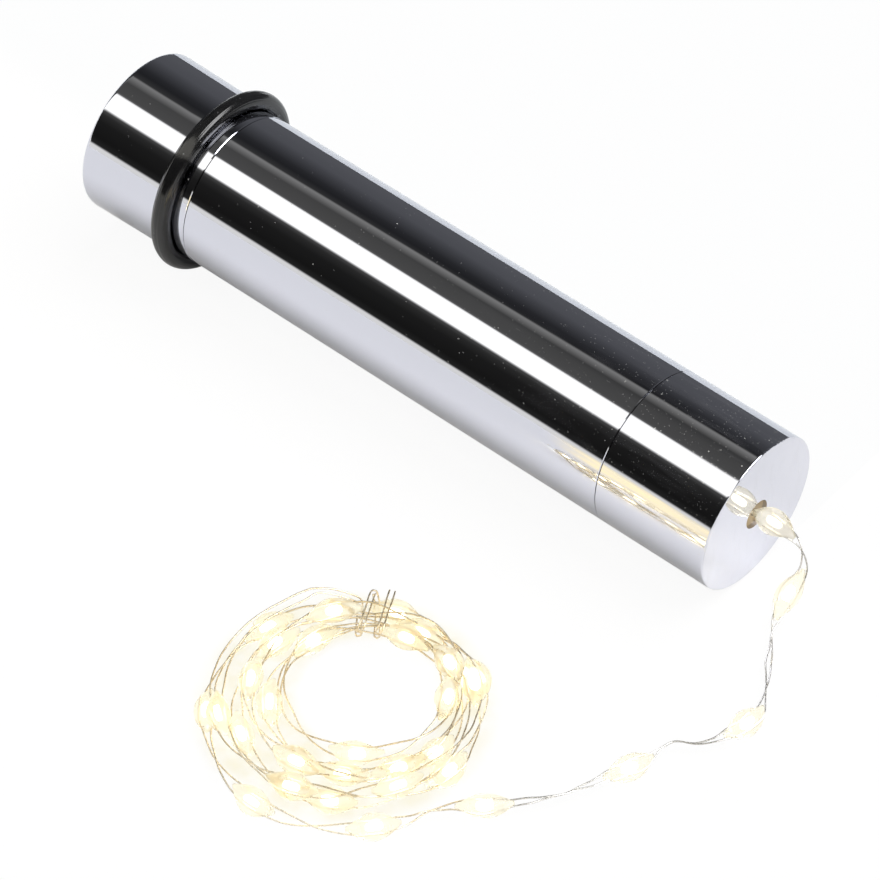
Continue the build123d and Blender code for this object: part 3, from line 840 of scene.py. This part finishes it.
def pair_turn():
    """The turn of the pair: wires side by side at each drop, and crossing between drops."""
    beside = np.cross(ahead, LEVEL)
    flat = np.unwrap(np.arctan2((beside * ups).sum(axis=1), (beside * sides).sum(axis=1)))
    half = DROP_HOLD * DROP_LENGTH
    places = [0.0]
    turns = [0.0]
    count = 0
    last = 0.0
    for mark in drop_marks:
        pitch = LEAD_TWIST if mark < lead_length else COIL_TWIST
        count += max(1, round((mark - last - 2 * half) / pitch)) if last else 0
        last = mark
        places += [mark - half, mark + half]
        turns += [count * math.pi] * 2
    places.append(marks[-1])
    turns.append(turns[-1])
    return flat + np.interp(marks, places, turns)


def pair_spacing(coiled):
    """Half the wires' spacing: in waves, wide at the drops, and narrow in the tie and in the hole."""
    nearest = np.min(np.abs(marks[:, None] - np.array(drop_marks)[None, :]), axis=1)
    inside = eased(np.clip(OPEN_START - nearest / (OPEN_REACH * DROP_LENGTH), 0, 1))
    tied = np.clip((marks - coil_end) / TIE_TAIL, 0, 1)
    in_hole = np.clip(1 - marks / HOLE_REACH, 0, 1)
    apart = SPACING_LEAST + SPACING_MORE_IN_COIL * coiled
    apart = apart + (SPACING_SPREAD + SPREAD_MORE_IN_COIL * coiled) * wave(SPACING_RUN, 0, 1)
    for share, wanted in ((inside, OPEN_APART), (tied, TIE_APART), (in_hole, HOLE_APART)):
        apart = apart * (1 - share) + wanted * share
    return apart


def twisted_pair():
    """Two thin wires that wind round each other, open round each drop and are a little kinked."""
    turn = pair_turn()
    coiled = np.interp(marks, (lead_length - COIL_BLEND, lead_length + COIL_BLEND), (0, 1))
    apart = pair_spacing(coiled)
    kinked = KINKS_ON_LEAD - KINKS_LESS_IN_COIL * coiled
    vertices = []
    faces = []
    for side in (0, math.pi):
        across = np.cos(turn + side)[:, None] * sides + np.sin(turn + side)[:, None] * ups
        centre = line + apart[:, None] * across
        for run, direction in zip(KINK_RUNS, (sides, ups)):
            centre += (kinked * wave(run, -KINK_SIZE, KINK_SIZE))[:, None] * direction
        centre[:, 2] = np.maximum(centre[:, 2], WIRE_RADIUS + WIRE_CLEARANCE)
        more, cells = tube(centre, len(vertices))
        vertices.extend(more * MM)
        faces.extend(cells)
    return new_piece("string", vertices, faces, "string_wire")


# A drop's mesh: its rings, how far drops differ, its thin ends, its bulge, and how far it is out of round
DROP_RINGS = 23
DROP_CORNERS = 20
DROP_LENGTHS = (0.94, 1.08)
DROP_WIDTHS = (0.92, 1.04)
DROP_LEAN = 0.12
DROP_END_RADIUS = 0.2
DROP_BULGE = 1.15
DROP_OVAL = 0.05
DROP_LOBE = 0.03
DROP_LOBES = 3
DROP_LOBE_TURN = 5


def drop_mesh(mark, start):
    """One resin drop: a lemon-shaped bead, a little lopsided, drawn out along the wires."""
    length = DROP_LENGTH * dice.uniform(*DROP_LENGTHS)
    radius = DROP_RADIUS * dice.uniform(*DROP_WIDTHS)
    lean = dice.uniform(-DROP_LEAN, DROP_LEAN)
    sag = dice.uniform(0, FULL_TURN)
    vertices = []
    for ring in range(DROP_RINGS):
        share = ring / (DROP_RINGS - 1)
        bulge = math.sin(math.pi * share ** (1 + lean)) ** DROP_BULGE
        size = DROP_END_RADIUS + (radius - DROP_END_RADIUS) * bulge
        at = mark + (share - 0.5) * length
        place = place_at(at)
        index = index_at(at)
        for corner in range(DROP_CORNERS):
            turn = FULL_TURN * corner / DROP_CORNERS
            oval = DROP_OVAL * math.cos(2 * turn + sag)
            lobes = DROP_LOBE * math.sin(DROP_LOBES * turn + sag + DROP_LOBE_TURN * share)
            wide = size * (1 + oval + lobes)
            spot = place + wide * (math.cos(turn) * sides[index] + math.sin(turn) * ups[index])
            spot[2] = max(spot[2], DROP_FOOT)
            vertices.append(spot * MM)
    return vertices, ring_faces(DROP_RINGS, DROP_CORNERS, start)


# A chip's mesh: layers from back to front by height and size, and the shape of a layer
CHIP_LAYERS = ((-0.22, 0.75), (-0.16, 0.8), (0.1, 0.8), (0.2, 0.7), (0.28, 0.4))
CHIP_CORNERS = 12
CHIP_SQUARENESS = 0.7
CHIP_WIDTH = 0.5


def chip_mesh(mark, start):
    """A lit chip with a domed front, set between the two wires."""
    index = index_at(mark)
    turn = dice.uniform(0, FULL_TURN)
    across = math.cos(turn) * sides[index] + math.sin(turn) * ups[index]
    front = np.cross(ahead[index], across)
    vertices = []
    for height, size in CHIP_LAYERS:
        for corner in range(CHIP_CORNERS):
            angle = FULL_TURN * corner / CHIP_CORNERS
            bulk = max(abs(math.cos(angle)), abs(math.sin(angle))) ** CHIP_SQUARENESS
            x = size * math.cos(angle) / bulk
            y = CHIP_WIDTH * size * math.sin(angle) / bulk
            vertices.append((line[index] + x * ahead[index] + y * across + height * front) * MM)
    return vertices, ring_faces(len(CHIP_LAYERS), CHIP_CORNERS, start)


def gathered(name, maker, wanted, slot):
    """One piece of a mesh at each of the wanted marks."""
    vertices = []
    faces = []
    for mark in wanted:
        more, cells = maker(mark, len(vertices))
        vertices.extend(more)
        faces.extend(cells)
    return new_piece(name, vertices, faces, slot)


string = twisted_pair()
lead_beads = gathered("lead_beads", drop_mesh, LEAD_DROPS, "resin")
lead_lights = gathered("lead_lights", chip_mesh, LEAD_DROPS, "light_chip")
coil_beads = gathered("coil_beads", drop_mesh, coil_marks, "resin")
coil_lights = gathered("coil_lights", chip_mesh, coil_marks, "light_chip")
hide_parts("string_lead", "string_coil", "coil_tie")
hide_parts("lead_drops")
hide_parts("lead_chips")
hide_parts("coil_drops")
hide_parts("coil_chips")

# Studio: a pale table, a long strip light overhead and dark walls, which the plating shows as bands.
# A band has an angle, a level and a tint. Angles are about the X axis, in degrees from straight up towards
# the camera's side.
BACK_TINT = (0.985, 1.0, 1.045)
FRONT_TINT = (1.03, 1.01, 0.925)
BANDS = (
    (-180, 0.115, BACK_TINT),
    (-104, 0.12, BACK_TINT),
    (-88, 0.122, BACK_TINT),
    (-66, 0.11, BACK_TINT),
    (-52, 0.07, BACK_TINT),
    (-38, 0.031, BACK_TINT),
    (-30, 0.022, BACK_TINT),
    (-8, 0.083, FRONT_TINT),
    (9, 0.098, FRONT_TINT),
    (11.2, 0.136, FRONT_TINT),
    (13.2, 1.7, FRONT_TINT),
    (36.2, 1.7, FRONT_TINT),
    (38.6, 0.097, FRONT_TINT),
    (44, 0.034, FRONT_TINT),
    (54, 0.0165, FRONT_TINT),
    (74, 0.0115, FRONT_TINT),
    (83.6, 0.026, FRONT_TINT),
    (85.6, 1.0, FRONT_TINT),
    (180, 1.0, FRONT_TINT),
)
# A fainter edge, which slants between two values of X; its rate is in degrees for a whole unit of X
EDGE = (
    (-180, 0, FRONT_TINT),
    (-21.5, 0, FRONT_TINT),
    (-18.5, 0.28, FRONT_TINT),
    (-6, 0.048, FRONT_TINT),
    (-2, 0, FRONT_TINT),
)
SLANT_FROM = -0.45
SLANT_TO = -0.3
SLANT_RATE = 105
DEGREES = 360
# A soft light past the string end, which the ring and the rounded edges mirror and the bands do not
SIDE_LIGHT = Vector((0.72, 0.34, 0.6))
SIDE_EDGE = (0.91, 0.95)
SIDE_FOOT = (0.465, 0.495)
SIDE_LEVEL = 8.5


def band_ramp(nodes, source, stops):
    """Colours at angles, where the source runs from 0 to 1 round the X axis."""
    made = nodes.node("ShaderNodeValToRGB")
    nodes.link(source, made.inputs["Fac"])
    elements = made.color_ramp.elements
    while len(elements) < len(stops):
        elements.new(1.0)
    for element, (angle, level, tint) in zip(elements, stops):
        element.position = (angle + DEGREES / 2) / DEGREES
        element.color = (*(level * share for share in tint), 1)
    return made.outputs["Color"]


def make_world():
    world = bpy.data.worlds.new("studio")
    scene.world = world
    world.use_nodes = True
    world.node_tree.nodes.clear()
    nodes = Nodes(world.node_tree)
    direction = nodes.node("ShaderNodeTexCoord").outputs["Generated"]
    parts = nodes.parts(direction)
    angle = nodes.math("ARCTAN2", nodes.times(parts["Y"], -1), parts["Z"])
    share = nodes.plus(nodes.math("DIVIDE", angle, FULL_TURN), 0.5)
    slant = nodes.larger(nodes.math("MINIMUM", parts["X"], SLANT_TO), SLANT_FROM)
    slant = nodes.times(nodes.math("SUBTRACT", slant, SLANT_FROM), SLANT_RATE / DEGREES)
    walls = band_ramp(nodes, share, BANDS)
    edge = band_ramp(nodes, nodes.plus(share, slant), EDGE)
    path = nodes.light_path()
    plain = nodes.larger(path["Is Camera Ray"], path["Is Transmission Ray"])
    lit = nodes.blend(plain, nodes.blend(1.0, walls, edge, "LIGHTEN"), WHITE)
    facing = nodes.vector_math("DOT_PRODUCT", direction, SIDE_LIGHT, "Value")
    soft = nodes.spread(facing, SIDE_EDGE, (0, SIDE_LEVEL), smooth=True)
    above = nodes.spread(parts["Z"], SIDE_FOOT, smooth=True)
    side = nodes.times(soft, nodes.times(above, path["Is Glossy Ray"]))
    background = nodes.node("ShaderNodeBackground")
    nodes.link(nodes.blend(1.0, lit, side, "ADD"), background.inputs["Color"])
    nodes.link(background.outputs[0], nodes.node("ShaderNodeOutputWorld").inputs["Surface"])


# Table: its reach and back edge in metres, its paper before the light and behind it, where it is darker as
# painted shade, the shares of plain white that the camera and the plating see, and a painted pool of light
# past the string end for the plating alone
FLOOR_REACH = 0.9
FLOOR_BACK = 0.087
PAPER_FRONT = (0.9, 0.9, 0.91)
PAPER_BACK_PAINTED_SHADE = (0.7, 0.73, 0.77)
PAINTED_SHADE_TURN = (0.003, 0.011)
SEEN_SHARE = 0.93
MIRRORED_SHARE = 0.05
PAINTED_POOL_REACH = (0.0424, 0.054)
PAINTED_POOL_STRENGTH = 0.12
PAINTED_POOL_COLOUR = (1.0, 0.97, 0.86)
# A painted warm glow on the table under the coil, for the lit drops' light, between two circles with soft
# edges; its shift is in millimetres
PAINTED_GLOW_SHIFT = (-1.2, 1.4)
PAINTED_GLOW_INNER_EDGE = (0.0068, 0.0088)
PAINTED_GLOW_OUTER_EDGE = (0.0132, 0.0162)
PAINTED_GLOW_COLOUR = (0.945, 0.907, 0.74)
PAINTED_GLOW_CLOUD_SCALE = 300
PAINTED_GLOW_CLOUD_LEVELS = (0.35, 0.65)
PAINTED_GLOW_CLOUD = (0.35, 1.0)


def painted_glow_centre(radius):
    """The middle of the coil's loops of one radius, moved to where the camera sees them on the table."""
    shift = COIL_CROWDING * (COIL_INNER + COIL_RATE * COIL_TURNS_IN / 2 - radius)
    x = COIL_CENTRE.x + shift * math.cos(COIL_CROWD_ANGLE) + PAINTED_GLOW_SHIFT[0]
    y = COIL_CENTRE.y + shift * math.sin(COIL_CROWD_ANGLE) + COIL_LIFT + PAINTED_GLOW_SHIFT[1]
    return Vector((x * MM, y * MM, 0))


def staged_sheet(name, corners):
    """A four-cornered sheet of the studio."""
    mesh = bpy.data.meshes.new(name)
    mesh.from_pydata(corners, [], [(0, 1, 2, 3)])
    sheet = bpy.data.objects.new(name, mesh)
    scene.collection.objects.link(sheet)
    return sheet


def make_floor():
    low = -FLOOR_REACH
    high = FLOOR_REACH
    corners = [(low, low, 0), (high, low, 0), (high, FLOOR_BACK, 0), (low, FLOOR_BACK, 0)]
    floor = staged_sheet("floor", corners)
    look = Shader("pale_table")
    across = look.parts(look.place)
    past_end = look.math("GREATER_THAN", across["X"], PAINTED_POOL_REACH[0])
    # Painted shade: the paper behind the light is darker, except past the string end
    painted_shade_behind = look.spread(across["Y"], PAINTED_SHADE_TURN, smooth=True)
    painted_shade_behind = look.math("SUBTRACT", painted_shade_behind, past_end, clamp=True)
    paper = look.node("ShaderNodeBsdfDiffuse")
    look.link(look.blend(painted_shade_behind, PAPER_FRONT, PAPER_BACK_PAINTED_SHADE), paper.inputs["Color"])
    path = look.light_path()
    seen = look.times(look.larger(path["Is Camera Ray"], path["Is Transmission Ray"]), SEEN_SHARE)
    share = look.larger(seen, look.times(path["Is Glossy Ray"], MIRRORED_SHARE))
    inner = painted_glow_centre(COIL_INNER)
    outer = painted_glow_centre(COIL_INNER + COIL_RATE * COIL_TURNS_IN)
    # Painted glow: the lit drops' warm light painted into the white that the camera sees under the coil
    outside = look.spread(look.reach_from(inner), PAINTED_GLOW_INNER_EDGE, smooth=True)
    within = look.spread(look.reach_from(outer), PAINTED_GLOW_OUTER_EDGE, (1, 0), smooth=True)
    cloudy = look.spread(look.noise(PAINTED_GLOW_CLOUD_SCALE, detail=3), PAINTED_GLOW_CLOUD_LEVELS, PAINTED_GLOW_CLOUD)
    painted_glow_share = look.times(look.times(outside, within), cloudy)
    plain = look.emission(look.blend(painted_glow_share, WHITE, PAINTED_GLOW_COLOUR))
    # Painted light: a warm pool on the table past the string end, which only the plating sees
    near_end = look.spread(across["X"], PAINTED_POOL_REACH, (1, 0), smooth=True)
    painted_pool = look.times(look.times(near_end, past_end), path["Is Glossy Ray"])
    painted_pool_light = look.emission(PAINTED_POOL_COLOUR)
    look.link(look.times(painted_pool, PAINTED_POOL_STRENGTH), painted_pool_light.inputs["Strength"])
    total = look.node("ShaderNodeAddShader")
    look.link(look.layered(share, paper, plain).outputs[0], total.inputs[0])
    look.link(painted_pool_light.outputs[0], total.inputs[1])
    look.show(total)
    floor.data.materials.append(look.material)


SUN_STRENGTH = 2.7
SUN_WIDTH = 50
SUN_TURN = (-20, 18, 0)


def make_lamp():
    data = bpy.data.lights.new("soft_top", "SUN")
    data.energy = SUN_STRENGTH
    data.angle = math.radians(SUN_WIDTH)
    lamp = bpy.data.objects.new("soft_top", data)
    lamp.rotation_euler = tuple(math.radians(turn) for turn in SUN_TURN)
    lamp.visible_glossy = False
    scene.collection.objects.link(lamp)


GLOW_POWER = 0.00009
GLOW_RADIUS = 0.002
GLOW_COLOUR = (1.0, 0.78, 0.42)
GLOW_LIFT = 0.6


def make_glow():
    """The lit drops' warm light on the wires, the table and the plating, as soft lamps in the coil."""
    for first, second in zip(coil_marks[::2], coil_marks[1::2]):
        data = bpy.data.lights.new("drop_glow", "POINT")
        data.energy = GLOW_POWER
        data.color = GLOW_COLOUR
        data.shadow_soft_size = GLOW_RADIUS
        lamp = bpy.data.objects.new("drop_glow", data)
        lamp.location = tuple((place_at((first + second) / 2) + (0, 0, GLOW_LIFT)) * MM)
        lamp.visible_transmission = False
        lamp.visible_glossy = False
        scene.collection.objects.link(lamp)


# The card over the coil: its sides along X, its height and its fades in millimetres, and its streaks
CARD_LEFT = -18.0
CARD_RIGHT = 19.0
CARD_HEIGHT = 15.5
CARD_FADE = 9.0
CARD_TOP_FADE = 3.0
CARD_FOOT_CLEAR = 2.25
CARD_COLOUR = (1.85, 1.55, 0.86)
CARD_STREAKS = (120, 1, 520)
CARD_STREAK_LEVELS = (0.35, 0.65)
CARD_STREAK_SHARES = (0.5, 1)


def make_glow_card():
    """The coil's glow as the plating shows it: a soft warm card over the coil, for reflections alone."""
    left = CARD_LEFT * MM
    right = CARD_RIGHT * MM
    height = CARD_HEIGHT * MM
    fade = CARD_FADE * MM
    card = staged_sheet("glow_card", [(left, 0, 0), (right, 0, 0), (right, 0, height), (left, 0, height)])
    card.location = COIL_CENTRE * MM
    card.visible_camera = False
    card.visible_diffuse = False
    card.visible_transmission = False
    card.visible_shadow = False
    look = Shader("warm_card")
    parts = look.parts(look.place)
    side = look.spread(parts["X"], (left, left + fade), smooth=True)
    top = look.spread(parts["Z"], (height - CARD_TOP_FADE * MM, height), (1, 0), smooth=True)
    foot = look.spread(parts["Z"], (CARD_FOOT_CLEAR * MM, fade), smooth=True)
    streaks = look.noise(1, place=look.stretched(CARD_STREAKS))
    streaks = look.spread(streaks, CARD_STREAK_LEVELS, CARD_STREAK_SHARES)
    share = look.times(look.times(side, streaks), look.times(top, foot))
    look.show(look.layered(share, look.node("ShaderNodeBsdfTransparent"), look.emission(CARD_COLOUR)))
    card.data.materials.append(look.material)


make_world()
make_floor()
make_lamp()
make_glow()
make_glow_card()
